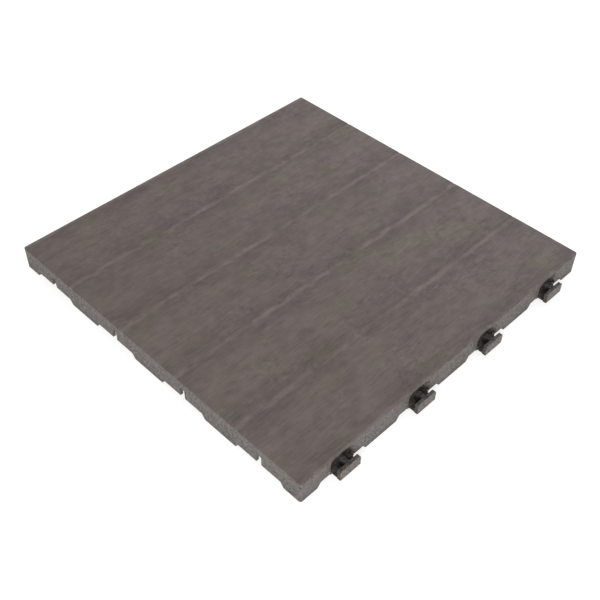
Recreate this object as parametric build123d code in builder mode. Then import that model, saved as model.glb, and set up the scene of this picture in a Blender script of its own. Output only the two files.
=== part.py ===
"""Interlocking plastic deck tile with a wood-plank face, moulded in one piece.

Millimetres, +Z up. The origin is on the floor under the middle of the square tile. The planks run
along X. Four T-shaped hooks stand out of the front side (-Y) and four out of the right side (+X),
and the slots that take a neighbour's hooks are in the back side (+Y) and the left side (-X).
"""

import os
from build123d import *

# The square tile
side = 400.0
height = 26.0
corner_round = 2.0
top_round = 1.0
deck = 3.0
skirt = 3.0
ceiling = height - deck
inside = side - 2 * skirt

# The plank face
plank_count = 5
groove_width = 8.0
groove_bottom = 1.0
groove_depth = 0.8

# Bays, one for each hook or slot on a side
bays = 4
bay = side / bays

# Drain arches between the feet of the skirt
arch_height = 5.5
foot_length = 40.0
foot_slope = 4.0

# Ribs under the deck, which end above the arches so that water runs out under them
rib_lift = 10.5
rib = 2.0
ribs_beside_hook = 1
cells_per_bay = 2 * ribs_beside_hook + 1
rib_pitch = bay / cells_per_bay
cell = rib_pitch - rib
cells = bays * cells_per_bay

# Round tube feet under the rib crossings at the corners of the bays
tube_diameter = 36.0
tube_wall = 2.5

# Hooks: a stem, an upright crossbar at its end and a thin level web between them and the skirt
hook_width = 25.0
hook_thickness = 3.8
hook_reach = 9.6
hook_lift = 3.0
hook_height = 11.5
hook_round = 2.0
stem = 4.5
web = 1.5
web_clearance = 0.2
web_top = arch_height - web_clearance

# The recess round each hook, as high as the deck's underside and closed below by the web
recess_width = 29.0
recess_depth = 9.0
recess_round = 6.0
recess_wall = 2.0

# Slots for a neighbour's stems, and the trough behind them for its crossbars
stem_clearance = 0.75
crossbar_clearance = 1.5
slot_round = 1.0
slot_width = stem + 2 * stem_clearance
slot_top = hook_lift + hook_height + crossbar_clearance
trough_end = hook_reach + crossbar_clearance

# Sides by the direction in which they face, as an angle about Z
hook_sides = (-90, 0)
slot_sides = (90, 180)


def side_plane(facing):
    """The upright plane of a side: x along the side, y up, z outwards."""
    outwards = Vector(1, 0, 0).rotate(Axis.Z, facing)
    return Plane(origin=outwards * (side / 2), x_dir=outwards.rotate(Axis.Z, 90), z_dir=outwards)


def strips(sides, start, end, width):
    """One rectangle in each bay of some sides, from start to end outwards, in a level sketch."""
    for facing in sides:
        with PolarLocations(side / 2, 1, start_angle=facing):
            with GridLocations(bay, bay, 1, bays):
                with Locations((start, 0)):
                    Rectangle(end - start, width, align=(Align.MIN, Align.CENTER))


# Plan of the tube feet
with BuildSketch() as tubes:
    with GridLocations(bay, bay, bays - 1, bays - 1):
        Circle(tube_diameter / 2)
        Circle(tube_diameter / 2 - tube_wall, mode=Mode.SUBTRACT)

# Plan of the recesses with the walls round them, across the ribs on both sides
with BuildSketch() as recess_blocks:
    strips(hook_sides, -recess_depth - recess_wall, 0, rib_pitch + rib)

with BuildPart() as tile:
    # The block of the tile, with its upright corners and top edge rounded
    with BuildSketch():
        RectangleRounded(side, side, corner_round)
    extrude(amount=height)
    fillet(tile.faces().sort_by(Axis.Z)[-1].edges(), top_round)

    # The grooves between the planks
    plank_width = side / plank_count
    with BuildSketch(Plane.YZ.offset(-side / 2)):
        with GridLocations(plank_width, plank_width, plank_count - 1, 1):
            Polygon(
                (-groove_width / 2, height),
                (-groove_bottom / 2, height - groove_depth),
                (groove_bottom / 2, height - groove_depth),
                (groove_width / 2, height),
                align=None,
            )
    extrude(amount=side, mode=Mode.SUBTRACT)

    # The drain arches, as deep as the skirt
    arch_foot = (bay - foot_length) / 2
    arch_head = arch_foot - foot_slope
    for facing in hook_sides + slot_sides:
        with BuildSketch(side_plane(facing)):
            with GridLocations(bay, bay, bays, 1):
                Polygon(
                    (-arch_foot, 0),
                    (arch_foot, 0),
                    (arch_head, arch_height),
                    (-arch_head, arch_height),
                    align=None,
                )
        extrude(amount=-skirt, mode=Mode.SUBTRACT)

    # The mouths of the recesses
    for facing in hook_sides:
        with BuildSketch(side_plane(facing)) as mouths:
            with GridLocations(bay, bay, bays, 1):
                Rectangle(recess_width, ceiling, align=(Align.CENTER, Align.MIN))
            fillet(mouths.vertices().group_by(Axis.Y)[-1], recess_round)
        extrude(amount=-skirt, mode=Mode.SUBTRACT)

    # The slots, which open into the arches below them
    for facing in slot_sides:
        with BuildSketch(side_plane(facing)) as slots:
            with GridLocations(bay, bay, bays, 1):
                Rectangle(slot_width, slot_top, align=(Align.CENTER, Align.MIN))
            fillet(slots.vertices().group_by(Axis.Y)[-1], slot_round)
        extrude(amount=-skirt, mode=Mode.SUBTRACT)

    # The cells between the ribs, clear of the tube feet and the recesses
    with BuildSketch():
        with GridLocations(rib_pitch, rib_pitch, cells, cells):
            Rectangle(cell, cell)
        Rectangle(inside, inside, mode=Mode.INTERSECT)
        add(tubes.sketch, mode=Mode.SUBTRACT)
        add(recess_blocks.sketch, mode=Mode.SUBTRACT)
    extrude(amount=ceiling, mode=Mode.SUBTRACT)

    # The recesses, above their floors
    with BuildSketch(Plane.XY.offset(web_top)):
        strips(hook_sides, -recess_depth, -skirt, recess_width)
    extrude(amount=ceiling - web_top, mode=Mode.SUBTRACT)

    # The floors and walls of the recesses cut back to the underside of the webs
    with BuildSketch():
        Rectangle(inside, inside)
        add(recess_blocks.sketch, mode=Mode.INTERSECT)
    extrude(amount=web_top - web, mode=Mode.SUBTRACT)

    # The ribs cut back to their own height, except inside the tube feet
    with BuildSketch():
        Rectangle(inside, inside)
        add(recess_blocks.sketch, mode=Mode.SUBTRACT)
        with GridLocations(bay, bay, bays - 1, bays - 1):
            Circle(tube_diameter / 2, mode=Mode.SUBTRACT)
    extrude(amount=rib_lift, mode=Mode.SUBTRACT)

    # The troughs behind the slots, through the ends of the ribs
    with BuildSketch():
        for facing in slot_sides:
            with PolarLocations(side / 2, 1, start_angle=facing):
                with Locations((-trough_end, 0)):
                    Rectangle(trough_end - skirt, inside, align=(Align.MIN, Align.CENTER))
    extrude(amount=slot_top, mode=Mode.SUBTRACT)

    # The stem of each hook
    with BuildSketch(Plane.XY.offset(hook_lift)):
        strips(hook_sides, -recess_depth - recess_wall, hook_reach - hook_thickness / 2, stem)
    extrude(amount=hook_height)

    # The crossbar of each hook, with its top corners rounded
    for facing in hook_sides:
        with BuildSketch(side_plane(facing).offset(hook_reach - hook_thickness)) as crossbars:
            with GridLocations(bay, bay, bays, 1):
                with Locations((0, hook_lift)):
                    Rectangle(hook_width, hook_height, align=(Align.CENTER, Align.MIN))
            fillet(crossbars.vertices().group_by(Axis.Y)[-1], hook_round)
        extrude(amount=hook_thickness)

    # The web of each hook, low enough to pass under a neighbour's arch and wider in the mouth
    with BuildSketch(Plane.XY.offset(web_top)):
        strips(hook_sides, -skirt, hook_reach - hook_thickness / 2, hook_width)
        strips(hook_sides, -skirt, 0, recess_width)
    extrude(amount=-web)

tile.part.label = "deck_tile"

os.makedirs("parts", exist_ok=True)
export_step(tile.part, "parts/deck_tile.step")
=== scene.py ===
"""Looks for the interlocking plastic deck tile: moulded plastic with a wood-plank face.

Metres, +Z up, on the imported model's own frame. The planks run along X, the hooks stand out of the
front side (-Y) and the right side (+X), and the slots are in the back and left sides.
"""

import functools
import math

import bmesh
import bpy
from mathutils import Color, Matrix, Vector


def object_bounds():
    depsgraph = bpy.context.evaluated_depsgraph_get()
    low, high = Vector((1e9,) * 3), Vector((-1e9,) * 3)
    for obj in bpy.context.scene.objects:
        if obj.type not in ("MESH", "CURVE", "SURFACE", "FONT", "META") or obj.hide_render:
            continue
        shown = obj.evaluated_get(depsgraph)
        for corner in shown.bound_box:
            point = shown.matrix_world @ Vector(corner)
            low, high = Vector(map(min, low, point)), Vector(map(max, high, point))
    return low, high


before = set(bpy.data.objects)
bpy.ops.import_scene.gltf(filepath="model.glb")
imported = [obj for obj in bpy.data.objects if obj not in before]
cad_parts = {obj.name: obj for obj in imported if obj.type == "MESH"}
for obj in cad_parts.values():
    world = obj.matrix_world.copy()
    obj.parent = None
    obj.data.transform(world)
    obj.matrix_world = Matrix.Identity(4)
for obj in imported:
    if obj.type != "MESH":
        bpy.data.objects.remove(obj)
cad_low, cad_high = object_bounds()
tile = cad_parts["deck_tile"]
scene = bpy.context.scene

MM = 0.001

# How far from the middle the skirt's outer faces and the hooks' outer faces are, and the top
EDGE = cad_high.y
HOOK_FACE = cad_high.x
TOP = cad_high.z

# The planks, and the bays with one hook or slot each
PLANKS = 5
PLANK_WIDTH = 2 * EDGE / PLANKS
BAYS = 4
BAY = 2 * EDGE / BAYS

# The deck's underside and its grooves, the recesses, and the hooks in them
CEILING = TOP - 3 * MM
GROOVE_BOTTOM = TOP - 0.8 * MM
RECESS_WALL = 29 * MM / 2
RECESS_BACK = EDGE - 9 * MM
STEM_WIDTH = 4.5 * MM
HOOK_TOP = 14.5 * MM

# Noise for the plastic, by grains to the metre along X, Y and Z, with the grain along the planks.
# A shift of its own keeps each noise from lining up with the others.
STREAKS = dict(per_metre=(16, 200, 60), detail=4.0, roughness=0.60, waver=0.9)
FIBRES = dict(per_metre=(60, 900, 250), detail=3.0, roughness=0.65, shift=3.1, waver=0.3)
PORES = dict(per_metre=(45, 1300, 300), detail=2.0, shift=6.1)
PATCHES = dict(per_metre=(24, 46, 46), detail=3.0, roughness=0.55, shift=7.7)
MOTTLING = dict(per_metre=(90, 120, 120), detail=3.0, roughness=0.65, shift=5.2)
SPECKS = dict(per_metre=(240, 270, 270), detail=2.0, roughness=0.6, shift=2.4)
SPECK_CLUSTERS = dict(per_metre=(22, 30, 30), detail=2.0, shift=9.6)
TINTS = dict(per_metre=(26, 40, 40), detail=3.0, roughness=0.6, shift=11.3)
TROUGH_BENDS = dict(per_metre=(14, 3, 3), detail=2.0, shift=4.4)
LINE_BREAKS = dict(per_metre=(45, 6, 6), detail=3.0, shift=1.3)
LINE_BENDS = dict(per_metre=(80, 6, 6), detail=2.0, shift=8.2)
SIDE_SPECKLE = dict(per_metre=(430, 430, 430), detail=3.0, roughness=0.7)
SKIN_SPECKLE = dict(per_metre=(330, 330, 330), detail=2.0, roughness=0.6)

# The part of its noise's range over which each comes in
PORE_RANGE = (0.54, 0.64)
SPECK_CLUSTER_RANGE = (0.44, 0.72)
TINT_RANGE = (0.42, 0.70)
LINE_RANGE = (0.34, 0.58)

# How much each makes the plastic brighter or darker, where the plain colour is 1
STREAK_SHADE = 0.22
FIBRE_SHADE = 0.42
PORE_SHADE = -0.16
PORE_BALANCE = 0.04
PATCH_SHADE = 0.42
MOTTLING_SHADE = 0.55
SPECK_SHADE = 0.75
SIDE_MOTTLING_SHADE = 0.6
SIDE_SPECKLE_SHADE = 3.8

# How far each is raised or pressed in
STREAK_HEIGHT = 0.22 * MM
FIBRE_HEIGHT = 0.30 * MM
PORE_HEIGHT = -0.06 * MM
MOTTLING_HEIGHT = 0.10 * MM
SKIN_HEIGHT = 0.02 * MM

# The joints between planks: a broad darker band (the trough), and a pale line a little off its
# middle, which is a painted highlight for the groove's slope that catches the light
TROUGH_REACH = 27 * MM
TROUGH_SHADE = -0.125
TROUGH_BEND = 14 * MM
LINE_PLACE = -1.4 * MM
LINE_REACH = 4.4 * MM
LINE_PAINTED_HIGHLIGHT = 0.46
LINE_BREAK_SHADE = 0.30
LINE_BEND = 6 * MM

# The plain sides: painted shade along the floor, and a painted highlight in a band below the deck
FOOT_DULL_BELOW = 3.5 * MM
FOOT_PLAIN_ABOVE = 8.5 * MM
FOOT_PAINTED_SHADE = -0.18
BAND_HEIGHT = 19.5 * MM
BAND_REACH = 5.5 * MM
BAND_PAINTED_HIGHLIGHT = 0.06

# Painted shade in the recesses and on the hooks, and painted light on the recesses' side walls
# and the crossbars' outer faces, beside the plain sides, which are 1
STEM_LOW_PAINTED_SHADE = 0.22
STEM_TOP_PAINTED_SHADE = 0.38
STEM_INNER_PAINTED_SHADE = 0.32
BEHIND_CROSSBAR_PAINTED_SHADE = 0.52
RECESS_MIDDLE_PAINTED_SHADE = 0.62
RECESS_WALL_PAINTED_LIGHT = 1.42
CROSSBAR_FACE_PAINTED_LIGHT = 1.16

# The gloss, with the brighter parts of the planks a little smoother
SPECULAR_LEVEL = 0.24
DULL_ROUGHNESS = 0.64
BRIGHT_ROUGHNESS = 0.54
ROUGHNESS_SHADES = (0.8, 1.2)

# The floor, of which the grey keeps the tile's shadow and the glow makes it white where it is seen
FLOOR_HALF_WIDTH = 6.0
FLOOR_GREY = 0.45
FLOOR_GLOW = 0.75
WHITE = (1.0, 1.0, 1.0, 1.0)

# The camera of the photograph, found from the tile's corners, with its angles in degrees
PHOTO_WIDTH_PX = 600
FOCAL_PX = 921.5
SENSOR_MM = 36.0
VIEW_AZIMUTH = 224.41
VIEW_ELEVATION = 45.08
VIEW_ROLL = 0.95
VIEW_DISTANCE = 889.6 * MM
VIEW_TARGET = Vector((-51.9 * MM, -50.5 * MM, TOP))


def seen_as(red, green, blue):
    """A colour as a screen shows it, 0 to 255, made linear."""
    screen = Color((red / 255, green / 255, blue / 255))
    return (*screen.from_srgb_to_scene_linear(), 1.0)


# The two browns that the planks' colour varies between, and the colour of the plain sides
REDDER_BROWN = seen_as(104.8, 94, 91.7)
YELLOWER_BROWN = seen_as(104.8, 96, 89.2)
SIDE_GREY = seen_as(112.2, 106.5, 102.6)


def direction(azimuth, elevation):
    """The unit vector from the tile towards an azimuth and elevation, in degrees."""
    azimuth, elevation = math.radians(azimuth), math.radians(elevation)
    return Vector((
        math.cos(elevation) * math.cos(azimuth),
        math.cos(elevation) * math.sin(azimuth),
        math.sin(elevation),
    ))


class Shading:
    """Adds shader nodes to a new material or world and links them."""

    def __init__(self, block):
        self.block = block
        self.block.use_nodes = True
        self.tree = self.block.node_tree
        self.tree.nodes.clear()

    def add(self, kind, inputs=None, **settings):
        """A node, each of whose inputs is linked to a socket or set to a value."""
        node = self.tree.nodes.new(kind)
        for name, value in settings.items():
            setattr(node, name, value)
        for name, value in (inputs or {}).items():
            if isinstance(value, bpy.types.NodeSocket):
                self.tree.links.new(value, node.inputs[name])
            else:
                node.inputs[name].default_value = value
        return node

    def maths(self, operation, *values):
        """What a math node makes of one value or two."""
        inputs = dict(enumerate(values))
        return self.add("ShaderNodeMath", inputs, operation=operation).outputs[0]

    def total(self, *values):
        return functools.reduce(functools.partial(self.maths, "ADD"), values)

    def product(self, *values):
        return functools.reduce(functools.partial(self.maths, "MULTIPLY"), values)

    def ramp(self, value, low, high, to_low=0.0, to_high=1.0):
        """A soft step from to_low to to_high as value goes from low to high."""
        inputs = {
            "Value": value,
            "From Min": low,
            "From Max": high,
            "To Min": to_low,
            "To Max": to_high,
        }
        node = self.add("ShaderNodeMapRange", inputs, interpolation_type="SMOOTHSTEP")
        return node.outputs["Result"]

    def until(self, value, start, end):
        """1 until value comes to start, and a soft step to 0 from there to end."""
        return self.ramp(value, start, end, to_low=1.0, to_high=0.0)

    def near(self, value, middle, reach, size):
        """A soft hump of a size where value is within reach of the middle."""
        off = self.maths("ABSOLUTE", self.total(value, -middle))
        return self.ramp(off, 0.0, reach, to_low=size, to_high=0.0)

    def noise(self, place, per_metre, detail, roughness=0.5, shift=0.0, waver=0.0):
        """Noise from 0 to 1, most of it near 0.5."""
        shifted = {"Vector": place, "Scale": per_metre, "Location": (shift, shift, shift)}
        inputs = {
            "Vector": self.add("ShaderNodeMapping", shifted).outputs["Vector"],
            "Scale": 1.0,
            "Detail": detail,
            "Roughness": roughness,
            "Distortion": waver,
        }
        return self.add("ShaderNodeTexNoise", inputs).outputs["Fac"]

    def about_zero(self, noise, size):
        """Noise moved to lie round 0, times a size."""
        return self.product(self.total(noise, -0.5), size)

    # A mix node takes values at its inputs 2 and 3, and colours at 6 and 7
    def blend(self, share, a, b):
        """Value a where share is 0, and value b where it is 1."""
        return self.add("ShaderNodeMix", {0: share, 2: a, 3: b}).outputs[0]

    def blend_colours(self, share, a, b):
        """Colour a where share is 0, and colour b where it is 1."""
        return self.add("ShaderNodeMix", {0: share, 6: a, 7: b}, data_type="RGBA").outputs[2]

    def blend_shaders(self, share, a, b):
        """The shader of node a where share is 0, and that of node b where it is 1."""
        return self.add("ShaderNodeMixShader", {0: share, 1: a.outputs[0], 2: b.outputs[0]})

    def seen(self):
        """1 for what is seen straight, in a reflection or through glass, and 0 for other light."""
        rays = self.add("ShaderNodeLightPath").outputs
        straight_or_mirrored = self.maths("MAXIMUM", rays["Is Camera Ray"], rays["Is Glossy Ray"])
        return self.maths("MAXIMUM", straight_or_mirrored, rays["Is Transmission Ray"])


def joint_shade(s, place, y):
    """How much brighter or darker each joint makes the face near it, with a painted highlight by
    it.
    """
    # Distance past the nearest joint, less than nothing on its near side
    past_middle = s.maths("FLOORED_MODULO", s.total(y, EDGE + PLANK_WIDTH / 2), PLANK_WIDTH)
    past_joint = s.total(past_middle, -PLANK_WIDTH / 2)

    bent = s.total(past_joint, s.about_zero(s.noise(place, **TROUGH_BENDS), TROUGH_BEND))
    trough = s.near(bent, 0.0, TROUGH_REACH, TROUGH_SHADE)

    # A pale line beside each joint: a painted highlight for the groove's lit slope
    wavy = s.total(past_joint, s.about_zero(s.noise(place, **LINE_BENDS), LINE_BEND))
    broken = s.ramp(s.noise(place, **LINE_BREAKS), *LINE_RANGE, to_low=LINE_BREAK_SHADE)
    painted_joint_highlight = s.product(s.near(wavy, LINE_PLACE, LINE_REACH, LINE_PAINTED_HIGHLIGHT), broken)
    return s.total(trough, painted_joint_highlight)


def wood_face(s, place, y):
    """The planks' shade, where 1 is their own colour, and that colour and their grain's height."""
    streaks = s.noise(place, **STREAKS)
    fibres = s.noise(place, **FIBRES)
    pores = s.ramp(s.noise(place, **PORES), *PORE_RANGE)
    mottling = s.noise(place, **MOTTLING)
    clusters = s.ramp(s.noise(place, **SPECK_CLUSTERS), *SPECK_CLUSTER_RANGE)

    shade = s.total(
        s.about_zero(streaks, STREAK_SHADE),
        s.about_zero(fibres, FIBRE_SHADE),
        s.product(pores, PORE_SHADE),
        s.about_zero(s.noise(place, **PATCHES), PATCH_SHADE),
        s.about_zero(mottling, MOTTLING_SHADE),
        s.product(s.about_zero(s.noise(place, **SPECKS), SPECK_SHADE), clusters),
        joint_shade(s, place, y),
        1.0 + PORE_BALANCE,
    )
    tint = s.ramp(s.noise(place, **TINTS), *TINT_RANGE)
    colour = s.blend_colours(tint, REDDER_BROWN, YELLOWER_BROWN)
    height = s.total(
        s.product(streaks, STREAK_HEIGHT),
        s.product(fibres, FIBRE_HEIGHT),
        s.product(pores, PORE_HEIGHT),
        s.product(mottling, MOTTLING_HEIGHT),
    )
    return shade, colour, height


def side_shade(s, place, z):
    """The plain sides' shade, where 1 is their colour, with painted shade and a painted highlight.
    """
    return s.total(
        s.about_zero(s.noise(place, **MOTTLING), SIDE_MOTTLING_SHADE),
        s.about_zero(s.noise(place, **SIDE_SPECKLE), SIDE_SPECKLE_SHADE),
        # Painted shade along the floor, and a painted highlight in a band below the deck
        s.ramp(z, FOOT_DULL_BELOW, FOOT_PLAIN_ABOVE, to_low=FOOT_PAINTED_SHADE, to_high=0.0),
        s.near(z, BAND_HEIGHT, BAND_REACH, BAND_PAINTED_HIGHLIGHT),
        1.0,
    )


def painted_shade_zone(s, outwards, off_middle, z):
    """1 in the recesses and on the hooks behind their outer faces, where shade is painted, and 0
    elsewhere.

    Each step lies a few tenths of a millimetre to one side of the surface that it is for.
    """
    across = s.until(off_middle, RECESS_WALL + 0.2 * MM, RECESS_WALL + 0.4 * MM)
    in_front_of_back = s.ramp(outwards, RECESS_BACK - 0.6 * MM, RECESS_BACK - 0.2 * MM)
    behind_hook_face = s.until(outwards, HOOK_FACE - 0.7 * MM, HOOK_FACE - 0.3 * MM)
    under_deck = s.until(z, CEILING, CEILING + 0.3 * MM)

    # The skirt's outer face comes into a mouth at its rounded upper corners, and is left out
    skirt_face = s.near(outwards, EDGE, 0.4 * MM, 1.0)
    above_webs = s.ramp(z, 11 * MM, 12 * MM)
    off_skirt = s.maths("SUBTRACT", 1.0, s.product(skirt_face, above_webs))
    return s.product(across, in_front_of_back, behind_hook_face, under_deck, off_skirt)


def hook_painted_light_and_shade(s, x, y, z):
    """The painted shade and painted light of the recesses and hooks, and 1 elsewhere."""
    # The front and the right side are alike, so the same two distances serve both
    forwards = s.product(y, -1.0)
    outwards = s.maths("MAXIMUM", x, forwards)
    along = s.maths("MINIMUM", x, forwards)
    in_bay = s.total(s.maths("FLOORED_MODULO", along, BAY), -BAY / 2)
    off_middle = s.maths("ABSOLUTE", in_bay)

    # A stem's painted shade is darkest outside its recess and below its top
    stem = s.until(off_middle, STEM_WIDTH / 2 + 0.1 * MM, STEM_WIDTH / 2 + 0.4 * MM)
    stem_painted_shade = s.total(
        s.ramp(z, HOOK_TOP - 4 * MM, HOOK_TOP - 0.1 * MM, STEM_LOW_PAINTED_SHADE, STEM_TOP_PAINTED_SHADE),
        s.ramp(outwards, EDGE - 6.5 * MM, EDGE - 2 * MM, STEM_INNER_PAINTED_SHADE, 0.0),
    )

    # A recess's painted shade turns to painted light towards its side walls
    wall_near, wall_here = RECESS_WALL - 7.5 * MM, RECESS_WALL - 0.5 * MM
    recess_painted = s.ramp(off_middle, wall_near, wall_here, RECESS_MIDDLE_PAINTED_SHADE, RECESS_WALL_PAINTED_LIGHT)
    inside_skirt = s.until(outwards, EDGE - 0.4 * MM, EDGE + 0.2 * MM)
    painted_beside_stem = s.blend(inside_skirt, BEHIND_CROSSBAR_PAINTED_SHADE, recess_painted)

    inner = s.blend(stem, painted_beside_stem, stem_painted_shade)
    shade = s.blend(painted_shade_zone(s, outwards, off_middle, z), 1.0, inner)
    # Painted light on the crossbars' outer faces
    hook_face = s.ramp(outwards, HOOK_FACE - 0.3 * MM, HOOK_FACE - 0.1 * MM)
    return s.product(shade, s.blend(hook_face, 1.0, CROSSBAR_FACE_PAINTED_LIGHT))


def moulded_plastic():
    """Brown-grey matte plastic, with an embossed wood grain on the planks and plain sides."""
    s = Shading(bpy.data.materials.new("moulded_plastic"))
    place = s.add("ShaderNodeTexCoord").outputs["Object"]
    x, y, z = s.add("ShaderNodeSeparateXYZ", {"Vector": place}).outputs

    # The wood face takes in the grooves and ends below the rounded edge
    wood = s.ramp(z, GROOVE_BOTTOM - 1.2 * MM, GROOVE_BOTTOM - 0.1 * MM)
    wood_shade, wood_colour, wood_height = wood_face(s, place, y)
    face_or_side = s.blend(wood, side_shade(s, place, z), wood_shade)
    # Painted shade and painted light on the recesses and hooks scale the colour
    shade = s.product(face_or_side, hook_painted_light_and_shade(s, x, y, z))
    plain = s.blend_colours(wood, SIDE_GREY, wood_colour)
    colour = s.add("ShaderNodeVectorMath", {0: plain, "Scale": shade}, operation="SCALE")

    skin_height = s.product(s.noise(place, **SKIN_SPECKLE), SKIN_HEIGHT)
    height = s.total(s.product(wood_height, wood), skin_height)
    bump = s.add("ShaderNodeBump", {"Height": height, "Strength": 1.0, "Distance": 1.0})
    roughness = s.ramp(wood_shade, *ROUGHNESS_SHADES, DULL_ROUGHNESS, BRIGHT_ROUGHNESS)
    plastic = s.add("ShaderNodeBsdfPrincipled", {
        "Base Color": colour.outputs["Vector"],
        "Roughness": roughness,
        "Specular IOR Level": SPECULAR_LEVEL,
        "Normal": bump.outputs["Normal"],
    })
    s.add("ShaderNodeOutputMaterial", {"Surface": plastic.outputs["BSDF"]})
    return s.block


def white_paper():
    """Paper that shows white, keeps the tile's shadow and is clear from below."""
    s = Shading(bpy.data.materials.new("pale_floor"))
    paper = s.add("ShaderNodeBsdfDiffuse", {"Color": (FLOOR_GREY, FLOOR_GREY, FLOOR_GREY, 1.0)})
    glow_strength = s.product(s.seen(), FLOOR_GLOW)
    glow = s.add("ShaderNodeEmission", {"Color": WHITE, "Strength": glow_strength})
    lit = s.add("ShaderNodeAddShader", {0: paper.outputs[0], 1: glow.outputs[0]})
    clear = s.add("ShaderNodeBsdfTransparent", {"Color": WHITE})
    below = s.add("ShaderNodeNewGeometry").outputs["Backfacing"]
    sheet = s.blend_shaders(below, lit, clear)
    s.add("ShaderNodeOutputMaterial", {"Surface": sheet.outputs[0]})
    return s.block


def lay_floor():
    bm = bmesh.new()
    bmesh.ops.create_grid(bm, x_segments=1, y_segments=1, size=FLOOR_HALF_WIDTH)
    mesh = bpy.data.meshes.new("floor")
    bm.to_mesh(mesh)
    bm.free()
    floor = bpy.data.objects.new("floor", mesh)
    floor.data.materials.append(white_paper())
    scene.collection.objects.link(floor)


def white_room(strength):
    """An even white room, of a strength as light on the tile and full white where it is seen."""
    scene.world = bpy.data.worlds.new("white_room")
    s = Shading(scene.world)
    light = s.add("ShaderNodeBackground", {"Color": WHITE, "Strength": strength})
    backdrop = s.add("ShaderNodeBackground", {"Color": WHITE, "Strength": 1.0})
    room = s.blend_shaders(s.seen(), light, backdrop)
    s.add("ShaderNodeOutputWorld", {"Surface": room.outputs[0]})


def soft_lamp(name, azimuth, elevation, distance, width, power):
    """A square panel aimed at the tile, from a direction given in degrees."""
    light = bpy.data.lights.new(name, "AREA")
    light.size = width
    light.energy = power
    lamp = bpy.data.objects.new(name, light)
    towards = direction(azimuth, elevation)
    turn = towards.to_track_quat("Z", "Y").to_matrix().to_4x4()
    lamp.matrix_world = Matrix.Translation(towards * distance) @ turn
    scene.collection.objects.link(lamp)


def photo_camera():
    """The photograph's camera, aimed at the target and rolled a little about its own axis."""
    back = direction(VIEW_AZIMUTH, VIEW_ELEVATION)
    level = Vector((0, 0, 1)).cross(back).normalized()
    upward = back.cross(level)
    roll = math.radians(VIEW_ROLL)
    right = math.cos(roll) * level + math.sin(roll) * upward
    up = math.cos(roll) * upward - math.sin(roll) * level

    data = bpy.data.cameras.new("photo_camera")
    data.sensor_width = SENSOR_MM
    data.lens = FOCAL_PX / PHOTO_WIDTH_PX * SENSOR_MM
    data.clip_start = 0.01
    data.clip_end = 50.0
    camera = bpy.data.objects.new("photo_camera", data)
    turn = Matrix((right, up, back)).transposed().to_4x4()
    camera.matrix_world = Matrix.Translation(VIEW_TARGET + back * VIEW_DISTANCE) @ turn
    scene.collection.objects.link(camera)
    scene.camera = camera


photo_camera()

tile.data.materials.clear()
tile.data.materials.append(moulded_plastic())

lay_floor()

# Even light from all round, a panel behind the tile and a lower one that lights the near sides
white_room(strength=0.47)
soft_lamp("key_panel", azimuth=22, elevation=35, distance=2.0, width=1.4, power=14.3)
soft_lamp("front_panel", azimuth=222, elevation=20, distance=2.0, width=1.0, power=24)

scene.view_settings.view_transform = "Standard"
